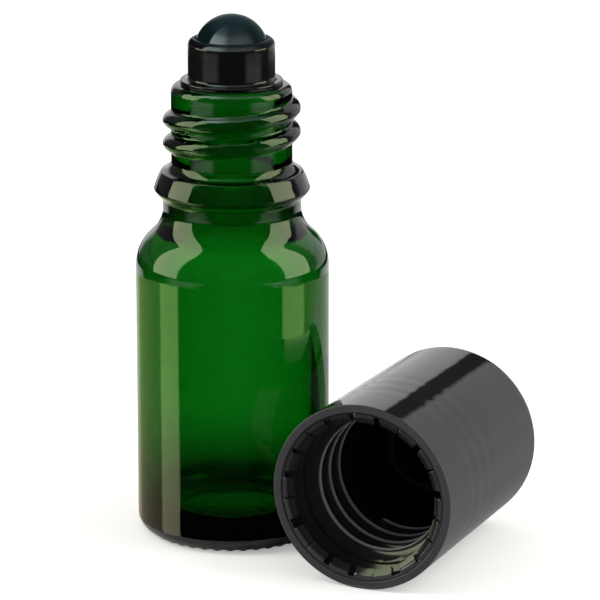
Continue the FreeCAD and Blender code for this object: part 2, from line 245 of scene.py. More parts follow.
# Outlines and turned meshes


def arc_points(start, end, radius, turn):
    """The points between two corners on an arc that turns to the left or the right."""
    chord = Vector(end) - Vector(start)
    reach = math.sqrt(max(radius ** 2 - chord.length_squared / 4, 0))
    centre = (Vector(start) + Vector(end)) / 2 + Vector((-chord.y, chord.x)).normalized() * reach * turn
    first = math.atan2(start[1] - centre.y, start[0] - centre.x)
    sweep = 2 * math.asin(min(chord.length / 2 / radius, 1)) * turn
    count = max(2, math.ceil(abs(sweep) / ARC_STEP))
    angles = [first + sweep * i / count for i in range(1, count)]
    return [(centre.x + radius * math.cos(a), centre.y + radius * math.sin(a)) for a in angles]


def softened(points, edge):
    """Round off the sharp corners of a closed outline."""
    corners = [Vector(point) for point in points]
    sides = []
    for before, corner, after in zip(corners[-1:] + corners[:-1], corners, corners[1:] + corners[:1]):
        sides.append((before - corner, after - corner))
    sharp = [corner.x >= edge and back.angle(ahead) <= SHARP_CORNER
             for corner, (back, ahead) in zip(corners, sides)]
    soft = []
    for number, (corner, (back, ahead)) in enumerate(zip(corners, sides)):
        if not sharp[number]:
            soft.append(tuple(corner))
            continue
        room_back = back.length * (SHARED_ROOM if sharp[number - 1] else OWN_ROOM)
        room_ahead = ahead.length * (SHARED_ROOM if sharp[(number + 1) % len(sharp)] else OWN_ROOM)
        start = corner + back.normalized() * min(edge, room_back)
        end = corner + ahead.normalized() * min(edge, room_ahead)
        for i in range(EDGE_STEPS + 1):
            share = i / EDGE_STEPS
            near = start.lerp(corner, share)
            far = corner.lerp(end, share)
            soft.append(tuple(near.lerp(far, share)))
    return soft


def held(start, end):
    """Two points near the ends of a straight run, which keep its shading flat."""
    run = Vector(end) - Vector(start)
    if run.length < 3 * HOLD:
        return []
    step = run.normalized() * HOLD
    return [tuple(Vector(start) + step), tuple(Vector(end) - step)]


def outline(corners, edge):
    """A closed outline from corners (radius, height).

    A third value says how the side after the corner runs: (arc radius, turn), or a row height for even rows.
    """
    points = []
    for corner, following in zip(corners, corners[1:] + corners[:1]):
        start, end = corner[:2], following[:2]
        points.append(start)
        if len(corner) == 2:
            points += held(start, end)
            continue
        if isinstance(corner[2], tuple):
            points += arc_points(start, end, *corner[2])
            continue
        rows = math.ceil(math.dist(start, end) / corner[2])
        points += [tuple(Vector(start).lerp(Vector(end), i / rows)) for i in range(1, rows)]
    return softened(points, edge)


def s_curve(low_radius, low_height, high_radius, round_radius, hollow_radius):
    """The join and the rise of a shoulder made of a round and a hollow."""
    inset = low_radius - high_radius
    reach = round_radius + hollow_radius
    rise = math.sqrt(reach ** 2 - (reach - inset) ** 2)
    share = round_radius / reach
    return (low_radius - inset * share, low_height + rise * share), rise


def dome_round(half_width, height):
    """The radius of an arc that rises by a height over half a width."""
    return (half_width ** 2 + height ** 2) / (2 * height)


def axis_point(radius, angle, height):
    """A point round the Z axis in metres, from sizes in millimetres."""
    return radius * math.cos(angle) * MM, radius * math.sin(angle) * MM, height * MM


def turned_mesh(name, points, around):
    """A closed skin turned about Z from a closed outline in millimetres."""
    skin = bmesh.new()
    rings = []
    for radius, height in points:
        if radius < NEARLY_ZERO:
            rings.append([skin.verts.new((0, 0, height * MM))])
            continue
        turns = [2 * math.pi * i / around for i in range(around)]
        rings.append([skin.verts.new(axis_point(radius, angle, height)) for angle in turns])
    for low, high in zip(rings, rings[1:] + rings[:1]):
        if len(low) == 1 and len(high) == 1:
            continue
        for i in range(around):
            j = (i + 1) % around
            corners = [low[i % len(low)], low[j % len(low)], high[j % len(high)], high[i % len(high)]]
            skin.faces.new(list(dict.fromkeys(corners)))
    bmesh.ops.recalc_face_normals(skin, faces=skin.faces)
    mesh = bpy.data.meshes.new(name)
    skin.to_mesh(mesh)
    skin.free()
    mesh.shade_smooth()
    mesh.set_sharp_from_angle(angle=CREASE)
    return mesh


def new_piece(name, mesh, material):
    piece = bpy.data.objects.new(name, mesh)
    bpy.context.scene.collection.objects.link(piece)
    mesh.materials.clear()
    mesh.materials.append(material)
    return piece


# Node trees


class Tree:
    """A node tree and short ways to add linked nodes to it."""

    def __init__(self, tree):
        self.tree = tree

    def put(self, socket, value):
        if isinstance(value, bpy.types.NodeSocket):
            self.tree.links.new(value, socket)
        else:
            socket.default_value = value

    def add(self, kind, inputs=None, **settings):
        node = self.tree.nodes.new(kind)
        for key, value in settings.items():
            setattr(node, key, value)
        for key, value in (inputs or {}).items():
            self.put(node.inputs[key], value)
        return node

    def math(self, operation, *values, **settings):
        node = self.add("ShaderNodeMath", dict(enumerate(values)), operation=operation, **settings)
        return node.outputs[0]

    def vector(self, operation, *values):
        return self.add("ShaderNodeVectorMath", dict(enumerate(values)), operation=operation).outputs

    def dot(self, vector, direction):
        return self.vector("DOT_PRODUCT", vector, tuple(direction))["Value"]

    def rise(self, value, start, end, **settings):
        """0 to 1 while a value goes from its start to its end."""
        limits = {"Value": value, "From Min": start, "From Max": end}
        return self.add("ShaderNodeMapRange", limits, **settings).outputs["Result"]

    def smooth(self, value, start, end):
        return self.rise(value, start, end, interpolation_type="SMOOTHSTEP")

    def mix(self, factor, first, second):
        """A number between two numbers."""
        node = self.add("ShaderNodeMix", {"Factor": factor, "A": first, "B": second}, data_type="FLOAT")
        return node.outputs[0]

    def noise(self, place, scale, detail):
        node = self.add("ShaderNodeTexNoise", {"Vector": place, "Scale": scale, "Detail": detail})
        return node.outputs["Fac"]


class GeometryTree(Tree):
    """A geometry tree whose inputs are named when it is made."""

    def __init__(self, name, inputs):
        super().__init__(bpy.data.node_groups.new(name, "GeometryNodeTree"))
        face = self.tree.interface
        face.new_socket("Geometry", in_out="INPUT", socket_type="NodeSocketGeometry")
        for label, kind in inputs.items():
            face.new_socket(label, in_out="INPUT", socket_type="NodeSocket" + kind)
        face.new_socket("Geometry", in_out="OUTPUT", socket_type="NodeSocketGeometry")
        self.inputs = self.tree.nodes.new("NodeGroupInput").outputs

    def place(self):
        """Each point's X, Y and Z, and its distance from the Z axis."""
        position = self.add("GeometryNodeInputPosition").outputs[0]
        x, y, z = self.add("ShaderNodeSeparateXYZ", {"Vector": position}).outputs
        squares = self.math("ADD", self.math("MULTIPLY", x, x), self.math("MULTIPLY", y, y))
        return x, y, z, self.math("SQRT", squares)

    def close(self, geometry, material):
        """End the tree in plain geometry with its material."""
        plain = self.add("GeometryNodeRealizeInstances", {"Geometry": geometry})
        painted = self.add("GeometryNodeSetMaterial", {"Geometry": plain.outputs[0], "Material": material})
        self.put(self.tree.nodes.new("NodeGroupOutput").inputs[0], painted.outputs[0])
        return self.tree


def thread_relief():
    """Raises a wound thread out of a round wall, in one skin with it. A negative height sinks it inwards."""
    tree = GeometryTree("thread_relief", {
        "Wall Radius": "Float", "Wall Reach": "Float", "Pitch": "Float", "First Crest": "Float",
        "Turns": "Float", "Start Angle": "Float", "Height": "Float", "Half Width": "Float",
        "Run Out": "Float", "Roundness": "Float", "Material": "Material"})
    given = tree.inputs
    x, y, z, radius = tree.place()
    on_wall = tree.math("COMPARE", radius, given["Wall Radius"], given["Wall Reach"])
    angle = tree.math("SUBTRACT", tree.math("ARCTAN2", y, x), given["Start Angle"])
    share = tree.math("FRACT", tree.math("DIVIDE", angle, 2 * math.pi))
    climb = tree.math("DIVIDE", tree.math("SUBTRACT", z, given["First Crest"]), given["Pitch"])
    crest = tree.math("SUBTRACT", climb, share)
    whole = tree.math("ROUND", crest)
    off_crest = tree.math("ABSOLUTE", tree.math("SUBTRACT", crest, whole))
    away = tree.math("MULTIPLY", off_crest, given["Pitch"])
    side = tree.math("MINIMUM", tree.math("DIVIDE", away, given["Half Width"]), 1.0)
    flank = tree.math("SUBTRACT", 1.0, tree.math("MULTIPLY", side, side))
    bump = tree.math("POWER", flank, given["Roundness"])
    progress = tree.math("ADD", share, whole)
    run_in = tree.smooth(progress, 0.0, given["Run Out"])
    run_out = tree.smooth(tree.math("SUBTRACT", given["Turns"], progress), 0.0, given["Run Out"])
    crest_share = tree.math("MULTIPLY", bump, tree.math("MULTIPLY", run_in, run_out))
    lift = tree.math("MULTIPLY", crest_share, given["Height"])
    out = tree.math("DIVIDE", lift, tree.math("MAXIMUM", radius, NEARLY_ZERO))
    offset = tree.add("ShaderNodeCombineXYZ", {
        "X": tree.math("MULTIPLY", x, out), "Y": tree.math("MULTIPLY", y, out)})
    crest_mark = tree.math("MULTIPLY", crest_share, on_wall)
    marked = tree.add("GeometryNodeStoreNamedAttribute", {
        "Geometry": given["Geometry"], "Name": "crest", "Value": crest_mark},
        data_type="FLOAT", domain="POINT")
    moved = tree.add("GeometryNodeSetPosition", {
        "Geometry": marked.outputs[0], "Selection": on_wall, "Offset": offset.outputs[0]})
    return tree.close(moved.outputs[0], given["Material"])


def foot_ribs():
    """Presses a ring of short ribs down out of the flat ring that the glass stands on."""
    tree = GeometryTree("foot_ribs", {
        "Count": "Float", "Depth": "Float", "Ring Height": "Float", "Ring Reach": "Float",
        "Inner Radius": "Float", "Material": "Material"})
    given = tree.inputs
    x, y, z, radius = tree.place()
    ring_top = tree.math("ADD", given["Ring Height"], given["Ring Reach"])
    low = tree.math("SUBTRACT", 1.0, tree.smooth(z, given["Ring Height"], ring_top))
    on_ring = tree.math("MULTIPLY", low, tree.math("GREATER_THAN", radius, given["Inner Radius"]))
    turn = tree.math("DIVIDE", tree.math("ARCTAN2", y, x), 2 * math.pi)
    wave = tree.math("PINGPONG", tree.math("MULTIPLY", turn, given["Count"]), 0.5)
    rib = tree.math("MULTIPLY", tree.smooth(wave, *RIB_FLANK), on_ring)
    drop = tree.math("MULTIPLY", rib, tree.math("MULTIPLY", given["Depth"], -1.0))
    offset = tree.add("ShaderNodeCombineXYZ", {"Z": drop})
    moved = tree.add("GeometryNodeSetPosition", {"Geometry": given["Geometry"], "Offset": offset.outputs[0]})
    return tree.close(moved.outputs[0], given["Material"])


def ring_of_flaps():
    """Repeats one flap round the cap's axis, each turned and shortened by its own small amount."""
    tree = GeometryTree("ring_of_flaps", {
        "Count": "Int", "Lean": "Float", "Shortest": "Float", "Seed": "Int", "Material": "Material"})
    given = tree.inputs
    points = tree.add("GeometryNodePoints", {"Count": given["Count"]})
    index = tree.add("GeometryNodeInputIndex").outputs[0]
    turn = tree.math("MULTIPLY", tree.math("DIVIDE", index, given["Count"]), 2 * math.pi)
    lean = tree.add("FunctionNodeRandomValue", {"Seed": given["Seed"]}, data_type="FLOAT")
    tree.put(lean.inputs[2], tree.math("MULTIPLY", given["Lean"], -1.0))
    tree.put(lean.inputs[3], given["Lean"])
    turned = tree.add("ShaderNodeCombineXYZ", {"Z": tree.math("ADD", turn, lean.outputs[1])})
    next_seed = tree.math("ADD", given["Seed"], 1.0)
    length = tree.add("FunctionNodeRandomValue", {"Seed": next_seed}, data_type="FLOAT")
    tree.put(length.inputs[2], given["Shortest"])
    size = tree.add("ShaderNodeCombineXYZ", {"X": 1.0, "Y": 1.0, "Z": length.outputs[1]})
    copies = tree.add("GeometryNodeInstanceOnPoints", {
        "Points": points.outputs[0], "Instance": given["Geometry"],
        "Rotation": turned.outputs[0], "Scale": size.outputs[0]})
    return tree.close(copies.outputs[0], given["Material"])


THREAD_RELIEF = thread_relief()
FOOT_RIBS = foot_ribs()
RING_OF_FLAPS = ring_of_flaps()


def shaped(piece, tree, values):
    """Run a geometry tree on a piece and keep the result as its plain mesh."""
    modifier = piece.modifiers.new(tree.name, "NODES")
    modifier.node_group = tree
    names = {item.name: item.identifier for item in tree.interface.items_tree
             if item.item_type == "SOCKET" and item.in_out == "INPUT"}
    for label, value in values.items():
        modifier[names[label]] = value
    evaluated = piece.evaluated_get(bpy.context.evaluated_depsgraph_get())
    mesh = bpy.data.meshes.new_from_object(evaluated)
    piece.modifiers.remove(modifier)
    old = piece.data
    piece.data = mesh
    mesh.name = piece.name
    bpy.data.meshes.remove(old)
    mesh.shade_smooth()


# Surface effects that several finishes share


def effect_group(name, inputs, outputs):
    group = Tree(bpy.data.node_groups.new(name, "ShaderNodeTree"))
    for label, number in inputs.items():
        socket = group.tree.interface.new_socket(label, in_out="INPUT", socket_type="NodeSocketFloat")
        socket.default_value = number
    for label in outputs:
        group.tree.interface.new_socket(label, in_out="OUTPUT", socket_type="NodeSocketFloat")
    nodes = group.tree.nodes
    return group, nodes.new("NodeGroupInput").outputs, nodes.new("NodeGroupOutput").inputs


def moulded_skin():
    """A moulded plastic skin: slow flow marks in its height, finer mottling in its gloss."""
    scales = {"Flow Scale": 300.0, "Mottle Scale": 1400.0}
    group, given, result = effect_group("moulded_skin", scales, ["Height", "Gloss"])
    place = group.add("ShaderNodeTexCoord").outputs["Object"]
    group.put(result["Height"], group.noise(place, given["Flow Scale"], detail=2.0))
    group.put(result["Gloss"], group.noise(place, given["Mottle Scale"], detail=4.0))
    return group.tree


def handling_marks():
    """Fine rubbed lines and faint smudges, as a mask."""
    scales = {"Line Scale": 900.0, "Smudge Scale": 160.0}
    group, given, result = effect_group("handling_marks", scales, ["Marks"])
    place = group.add("ShaderNodeTexCoord").outputs["Object"]
    stretched = group.add("ShaderNodeMapping", {"Vector": place, "Scale": (1.0, 1.0, 0.06)})
    lines = group.noise(stretched.outputs[0], given["Line Scale"], detail=3.0)
    smudges = group.noise(place, given["Smudge Scale"], detail=3.0)
    group.put(result["Marks"], group.math("MULTIPLY", lines, smudges))
    return group.tree


SKIN = moulded_skin()
MARKS = handling_marks()


class Finish(Tree):
    """A material with one Principled shader."""

    def __init__(self, name, **constants):
        self.material = bpy.data.materials.new(name)
        self.material.use_nodes = True
        super().__init__(self.material.node_tree)
        self.shader = self.tree.nodes["Principled BSDF"]
        for label, value in constants.items():
            socket = label.replace("_", " ").title().replace("Ior", "IOR")
            self.shader.inputs[socket].default_value = value

    def give(self, label, value):
        self.put(self.shader.inputs[label], value)

    def effect(self, group, **values):
        node = self.add("ShaderNodeGroup", node_tree=group)
        for label, value in values.items():
            node.inputs[label.replace("_", " ").title()].default_value = value
        return node.outputs

    def between(self, value, low, high):
        node = self.add("ShaderNodeMapRange", {"Value": value, "To Min": low, "To Max": high})
        return node.outputs["Result"]

    def blend(self, factor, first, second):
        """A colour between two colours."""
        node = self.add("ShaderNodeMix", {"Factor": factor}, data_type="RGBA")
        self.put(node.inputs[6], first)
        self.put(node.inputs[7], second)
        return node.outputs[2]

    def raise_skin(self, height, strength, depth):
        """A shading relief whose depth is in millimetres."""
        bump = self.add("ShaderNodeBump", {"Height": height, "Strength": strength, "Distance": depth * MM})
        self.give("Normal", bump.outputs[0])


# Materials


def seam_relief(finish, place):
    """Uneven glass along the mould's seam, which runs up one side of the neck."""
    across = (math.sin(SEAM_ANGLE), -math.cos(SEAM_ANGLE), 0)
    along = (math.cos(SEAM_ANGLE), math.sin(SEAM_ANGLE), 0)
    distance = finish.math("ABSOLUTE", finish.dot(place, across))
    near = finish.rise(distance, SEAM_FADE_WIDTH * MM, SEAM_HALF_WIDTH * MM)
    outside = finish.rise(finish.dot(place, along), SEAM_INNER * MM, SEAM_OUTER * MM)
    height = finish.add("ShaderNodeSeparateXYZ", {"Vector": place}).outputs["Z"]
    above = finish.rise(height, SEAM_FOOT * MM, SEAM_FULL * MM)
    here = finish.math("MULTIPLY", finish.math("MULTIPLY", near, outside), above)
    return finish.math("MULTIPLY", here, finish.noise(place, scale=1500.0, detail=2.0))


def green_glass():
    """Clear glass that is green through its depth, with a thin film, slow ripples and the mould's seam."""
    deep_green = (0.0, 0.674, 0.169, 1)
    finish = Finish("green_glass", base_color=(0.93, 1.0, 0.94, 1), ior=1.52, transmission_weight=1.0)
    place = finish.add("ShaderNodeTexCoord").outputs["Object"]
    film = finish.noise(place, scale=220.0, detail=3.0)
    finish.give("Roughness", finish.between(film, low=0.0, high=0.02))
    ripple = finish.noise(place, scale=120.0, detail=1.0)
    relief = finish.math("ADD", ripple, seam_relief(finish, place))
    finish.raise_skin(relief, strength=0.1, depth=0.4)
    depth = finish.add("ShaderNodeVolumeAbsorption", {"Color": deep_green, "Density": 1400.0})
    finish.put(finish.tree.nodes["Material Output"].inputs["Volume"], depth.outputs[0])
    return finish.material


def black_plastic(name, base, gloss_low, gloss_high, flow):
    """A glossy moulded black, a little paler and duller where it is handled."""
    least_rub = 0.1
    paler = [channel * 1.6 for channel in base]
    finish = Finish(name, ior=1.5)
    skin = finish.effect(SKIN)
    marks = finish.effect(MARKS)["Marks"]
    rubbed = finish.math("MULTIPLY_ADD", skin["Gloss"], marks, least_rub)
    gloss = finish.between(rubbed, gloss_low, gloss_high)
    finish.give("Roughness", gloss)
    tone = finish.blend(marks, (*base, 1), (*paler, 1))
    finish.give("Base Color", tone)
    finish.raise_skin(skin["Height"], strength=flow, depth=0.2)
    return finish, gloss, tone


def cap_black():
    """Polished black outside and satin inside the mouth, with a painted sheen on its rim and a painted
    highlight along the thread crests.
    """
    finish, gloss, tone = black_plastic(
        "cap_black", base=(0.008, 0.008, 0.010), gloss_low=0.035, gloss_high=0.13, flow=0.12)
    satin_roughness = 0.16
    inside_tone = (0.012, 0.012, 0.014, 1)
    # The rim's grey is a painted sheen on the same black plastic.
    rim_sheen_tone = (0.045, 0.045, 0.05, 1)
    # Pale colour of the thread crests: a painted highlight along each crest.
    crest_highlight_tone = (0.3, 0.3, 0.31, 1)
    crest_highlight_from = 0.86
    bore_fade = 0.3
    rim_back, rim_front = 0.3, 0.1
    place = finish.add("ShaderNodeTexCoord").outputs["Object"]
    middle = tuple(cap_placement().translation)
    from_mouth = finish.vector("SUBTRACT", place, middle)[0]
    across = finish.vector("MULTIPLY", from_mouth, (1, 0, 1))[0]
    radius = finish.vector("LENGTH", across)["Value"]
    depth = finish.add("ShaderNodeSeparateXYZ", {"Vector": from_mouth}).outputs["Y"]
    inside = finish.rise(radius, (MOUTH_BORE + bore_fade) * MM, MOUTH_BORE * MM)
    rim = finish.rise(depth, rim_back * MM, rim_front * MM)
    satin = finish.math("MAXIMUM", inside, rim)
    crest = finish.add("ShaderNodeAttribute", attribute_name="crest").outputs["Fac"]
    painted_crest_highlight = finish.smooth(crest, crest_highlight_from, 1.0)
    finish.give("Roughness", finish.mix(satin, gloss, satin_roughness))
    # Satin colour inside the mouth, with the painted sheen on the rim.
    satin_and_rim_sheen = finish.blend(rim, inside_tone, rim_sheen_tone)
    # The painted highlight on the thread crests goes over the satin colour.
    finish.give("Base Color", finish.blend(satin, tone, finish.blend(painted_crest_highlight, satin_and_rim_sheen, crest_highlight_tone)))
    return finish.material


def housing_black():
    finish, _, _ = black_plastic(
        "housing_black", base=(0.003, 0.003, 0.0035), gloss_low=0.08, gloss_high=0.22, flow=0.08)
    return finish.material


def natural_plastic():
    """Undyed plastic that lets a little light in."""
    finish = Finish("natural_plastic", ior=1.5, subsurface_weight=0.6, subsurface_scale=0.002)
    skin = finish.effect(SKIN, flow_scale=500.0)
    finish.give("Roughness", finish.between(skin["Gloss"], low=0.35, high=0.55))
    tone = finish.blend(skin["Height"], (0.80, 0.82, 0.77, 1), (0.88, 0.89, 0.85, 1))
    finish.give("Base Color", tone)
    finish.raise_skin(skin["Height"], strength=0.15, depth=0.2)
    return finish.material


def dark_ball():
    """A polished, nearly black ball with faint marks from rolling."""
    finish = Finish("dark_ball", ior=1.6)
    marks = finish.effect(MARKS, line_scale=1500.0, smudge_scale=400.0)["Marks"]
    finish.give("Roughness", finish.between(marks, low=0.03, high=0.16))
    finish.give("Base Color", finish.blend(marks, (0.0015, 0.006, 0.007, 1), (0.005, 0.013, 0.015, 1)))
    return finish.material


GREEN_GLASS = green_glass()
CAP_BLACK = cap_black()
HOUSING_BLACK = housing_black()
NATURAL_PLASTIC = natural_plastic()
DARK_BALL = dark_ball()


# The pieces


def make_bottle():
    foot = RIB_HEIGHT
    bearing_outer = BODY_RADIUS - HEEL_RADIUS
    bearing_inner = bearing_outer - BEARING_WIDTH
    _, rise = s_curve(BODY_RADIUS, 0, LOWER_NECK_RADIUS, SHOULDER_ROUND, SHOULDER_HOLLOW)
    body_top = SHOULDER_TOP - rise
    shoulder_join, _ = s_curve(BODY_RADIUS, body_top, LOWER_NECK_RADIUS, SHOULDER_ROUND, SHOULDER_HOLLOW)
    inner = BODY_RADIUS - GLASS_WALL
    inner_join, inner_rise = s_curve(inner, body_top, BORE_RADIUS, INNER_ROUND, INNER_HOLLOW)
    floor = foot + BASE_THICKNESS
    floor_edge = inner - INNER_HEEL_RADIUS
    points = outline([
        (0, foot + DOME_HEIGHT, (dome_round(bearing_inner, DOME_HEIGHT), RIGHT)),
        (bearing_inner, foot, RIB_ROW),
        (bearing_outer, foot, (HEEL_RADIUS, LEFT)),
        (BODY_RADIUS, foot + HEEL_RADIUS),
        (BODY_RADIUS, body_top, (SHOULDER_ROUND, LEFT)),
        (*shoulder_join, (SHOULDER_HOLLOW, RIGHT)),
        (LOWER_NECK_RADIUS, SHOULDER_TOP),
        (LOWER_NECK_RADIUS, BEAD_FOOT, (BEAD_UNDER_ROUND, LEFT)),
        (BEAD_RADIUS, BEAD_CORNER, (BEAD_SIDE_ROUND, LEFT)),
        (BEAD_RADIUS - BEAD_TAPER, BEAD_TOP, (BEAD_FLARE_HOLLOW, RIGHT)),
        (NECK_RADIUS, NECK_FOOT, THREAD_ROW),
        (NECK_RADIUS, GLASS_LIP - LIP_ROUND, (LIP_ROUND, LEFT)),
        (NECK_RADIUS - LIP_ROUND, GLASS_LIP),
        (BORE_RADIUS + BORE_ROUND, GLASS_LIP, (BORE_ROUND, LEFT)),
        (BORE_RADIUS, GLASS_LIP - BORE_ROUND),
        (BORE_RADIUS, body_top + inner_rise, (INNER_HOLLOW, LEFT)),
        (*inner_join, (INNER_ROUND, RIGHT)),
        (inner, body_top),
        (inner, floor + INNER_HEEL_RADIUS, (INNER_HEEL_RADIUS, RIGHT)),
        (floor_edge, floor, (dome_round(floor_edge, FLOOR_DOME), LEFT)),
        (0, floor + FLOOR_DOME),
    ], GLASS_EDGE)
    bottle = new_piece("bottle_glass", turned_mesh("bottle_glass", points, GLASS_AROUND), GREEN_GLASS)
    shaped(bottle, THREAD_RELIEF, {
        "Wall Radius": NECK_RADIUS * MM, "Wall Reach": WALL_REACH * MM, "Pitch": THREAD_PITCH * MM,
        "First Crest": THREAD_FOOT * MM, "Turns": THREAD_TURNS, "Start Angle": THREAD_START,
        "Height": THREAD_HEIGHT * MM, "Half Width": THREAD_WIDTH / 2 * MM, "Run Out": 0.05,
        "Roundness": 0.8, "Material": GREEN_GLASS})
    shaped(bottle, FOOT_RIBS, {
        "Count": float(RIB_COUNT), "Depth": RIB_HEIGHT * MM, "Ring Height": foot * MM,
        "Ring Reach": RIB_REACH * MM, "Inner Radius": (bearing_inner + RIB_INSET) * MM,
        "Material": GREEN_GLASS})
    return bottle


def make_plug():
    air = PLUG_AIR
    rim = PLUG_RIM_RADIUS - air
    stem = STEM_RADIUS - air
    corners = [
        (FEED_RADIUS, SEAT_EDGE - SEAT_THICKNESS),
        (FEED_RADIUS, SEAT_EDGE, (CUP_RADIUS, LEFT)),
        (SPLIT_RADIUS, SPLIT_HEIGHT - air),
        (COLLAR_RADIUS - air, SPLIT_HEIGHT - air),
        (COLLAR_RADIUS - air, PLUG_RIM_TOP - air),
        (rim, PLUG_RIM_TOP - air),
        (rim, GLASS_LIP + air),
        (stem, GLASS_LIP + air),
    ]
    spacing = (GLASS_LIP - PLUG_FOOT - PLUG_CHAMFER) / (SEAL_RIB_COUNT + 1)
    half_rib = SEAL_RIB_WIDTH / 2
    rib_round = dome_round(half_rib, SEAL_RIB - air)
    for number in range(1, SEAL_RIB_COUNT + 1):
        middle = GLASS_LIP - spacing * number
        corners += [(stem, middle + half_rib, (rib_round, RIGHT)), (stem, middle - half_rib)]
    corners += [
        (stem, PLUG_FOOT + PLUG_CHAMFER),
        (stem - PLUG_CHAMFER, PLUG_FOOT),
        (STEM_BORE, PLUG_FOOT),
        (STEM_BORE, SEAT_EDGE - SEAT_THICKNESS),
    ]
    mesh = turned_mesh("plug", outline(corners, PLASTIC_EDGE), PLUG_AROUND)
    return new_piece("plug", mesh, NATURAL_PLASTIC)


def make_housing():
    air = HOUSING_AIR
    corners = [
        (PLUG_RIM_RADIUS + air, GLASS_LIP + air),
        (FLANGE_RADIUS, GLASS_LIP + air),
        (FLANGE_RADIUS, FLANGE_TOP),
        (HOUSING_RADIUS + HOUSING_FILLET, FLANGE_TOP, (HOUSING_FILLET, RIGHT)),
        (HOUSING_RADIUS, FLANGE_TOP + HOUSING_FILLET),
        (HOUSING_RADIUS, HOUSING_TOP - HOUSING_ROUND, (HOUSING_ROUND, LEFT)),
        (HOUSING_RADIUS - HOUSING_ROUND, HOUSING_TOP),
        (LIP_OPENING, HOUSING_TOP, (CUP_RADIUS, RIGHT)),
        (SPLIT_RADIUS, SPLIT_HEIGHT),
        (COLLAR_RADIUS + air, SPLIT_HEIGHT),
        (COLLAR_RADIUS + air, PLUG_RIM_TOP),
        (PLUG_RIM_RADIUS + air, PLUG_RIM_TOP),
    ]
    mesh = turned_mesh("ball_housing", outline(corners, PLASTIC_EDGE), HOUSING_AROUND)
    return new_piece("ball_housing", mesh, HOUSING_BLACK)


def make_ball():
    corners = [
        (0, -BALL_RADIUS, (BALL_RADIUS, LEFT)),
        (BALL_RADIUS - BALL_SEAM, -BALL_SEAM_HALF_WIDTH),
        (BALL_RADIUS - BALL_SEAM / 2, 0),
        (BALL_RADIUS - BALL_SEAM, BALL_SEAM_HALF_WIDTH, (BALL_RADIUS, LEFT)),
        (0, BALL_RADIUS),
    ]
    mesh = turned_mesh("rolling_ball", outline(corners, PLASTIC_EDGE), BALL_AROUND)
    ball = new_piece("rolling_ball", mesh, DARK_BALL)
    ball.data.transform(Matrix.Translation((0, 0, BALL_CENTRE * MM)) @ Matrix.Rotation(BALL_TILT, 4, "X"))
    return ball


def make_cap():
    shoulder = CAP_RADIUS - CAP_DRAFT * (CAP_LENGTH - CAP_ROUND) / CAP_LENGTH
    points = outline([
        (MOUTH_BORE, 0),
        (CAP_RADIUS, 0, CAP_ROW),
        (shoulder, CAP_LENGTH - CAP_ROUND, (CAP_ROUND, LEFT)),
        (shoulder - CAP_ROUND, CAP_LENGTH),
        (0, CAP_LENGTH),
        (0, CAP_CEILING),
        (SEAL_RING_INNER, CAP_CEILING),
        (SEAL_RING_INNER, SEAL_RING_END),
        (SEAL_RING_OUTER, SEAL_RING_END),
        (SEAL_RING_OUTER, CAP_CEILING),
        (CAP_BORE - CAP_INNER_ROUND, CAP_CEILING, (CAP_INNER_ROUND, RIGHT)),
        (CAP_BORE, CAP_CEILING - CAP_INNER_ROUND, THREAD_ROW),
        (CAP_BORE, CONE_TOP),
        (MOUTH_BORE, CONE_TOP - MOUTH_CONE),
    ], PLASTIC_EDGE)
    cap = new_piece("screw_cap", turned_mesh("screw_cap", points, CAP_AROUND), CAP_BLACK)
    winding = {
        "Pitch": THREAD_PITCH * MM, "First Crest": CAP_THREAD_FOOT * MM, "Turns": CAP_THREAD_TURNS,
        "Start Angle": 0.0, "Material": CAP_BLACK}
    shaped(cap, THREAD_RELIEF, {
        **winding, "Wall Radius": (CAP_RADIUS - CAP_DRAFT / 2) * MM, "Wall Reach": CAP_DRAFT * MM,
        "Height": -SINK_DEPTH * MM, "Half Width": THREAD_PITCH / 2 * MM, "Run Out": 0.3, "Roundness": 2.0})
    shaped(cap, THREAD_RELIEF, {
        **winding, "Wall Radius": CAP_BORE * MM, "Wall Reach": WALL_REACH * MM,
        "Height": -CAP_THREAD_HEIGHT * MM, "Half Width": CAP_THREAD_WIDTH / 2 * MM, "Run Out": 0.04,
        "Roundness": 0.6})
    cap.data.transform(cap_placement())
    return cap


def flap_mesh():
    """One hooked flap, its side view swept round a small angle."""
    band_inner = MOUTH_BORE - RING_WALL
    root = band_inner + RING_WALL / 2
    middle = (root + FLAP_TIP) / 2
    tip_height = RING_INSET + FLAP_LENGTH
    side = [
        (root, RING_INSET),
        (root, RING_INSET + 2 * FLAP_THICKNESS),
        (middle + FLAP_BULGE, RING_INSET + FLAP_LENGTH * FLAP_BULGE_HEIGHT),
        (FLAP_TIP, tip_height),
        (FLAP_TIP - FLAP_THICKNESS, tip_height - FLAP_THICKNESS),
        (middle - FLAP_THICKNESS * FLAP_HOLLOW, RING_INSET + FLAP_LENGTH * FLAP_HOLLOW_HEIGHT),
        (band_inner - FLAP_THICKNESS, RING_INSET),
    ]
    flap = bmesh.new()
    rows = []
    for i in range(FLAP_SLICES + 1):
        angle = FLAP_ANGLE * (i / FLAP_SLICES - 0.5)
        rows.append([flap.verts.new(axis_point(radius, angle, height)) for radius, height in side])
    for row, following in zip(rows, rows[1:]):
        for k in range(len(side)):
            n = (k + 1) % len(side)
            flap.faces.new((row[k], row[n], following[n], following[k]))
    flap.faces.new(rows[0])
    flap.faces.new(rows[-1][::-1])
    bmesh.ops.recalc_face_normals(flap, faces=flap.faces)
    bmesh.ops.bevel(flap, geom=flap.edges[:], offset=FLAP_EDGE * MM, segments=1, affect="EDGES")
    mesh = bpy.data.meshes.new("flap")
    flap.to_mesh(mesh)
    flap.free()
    return mesh


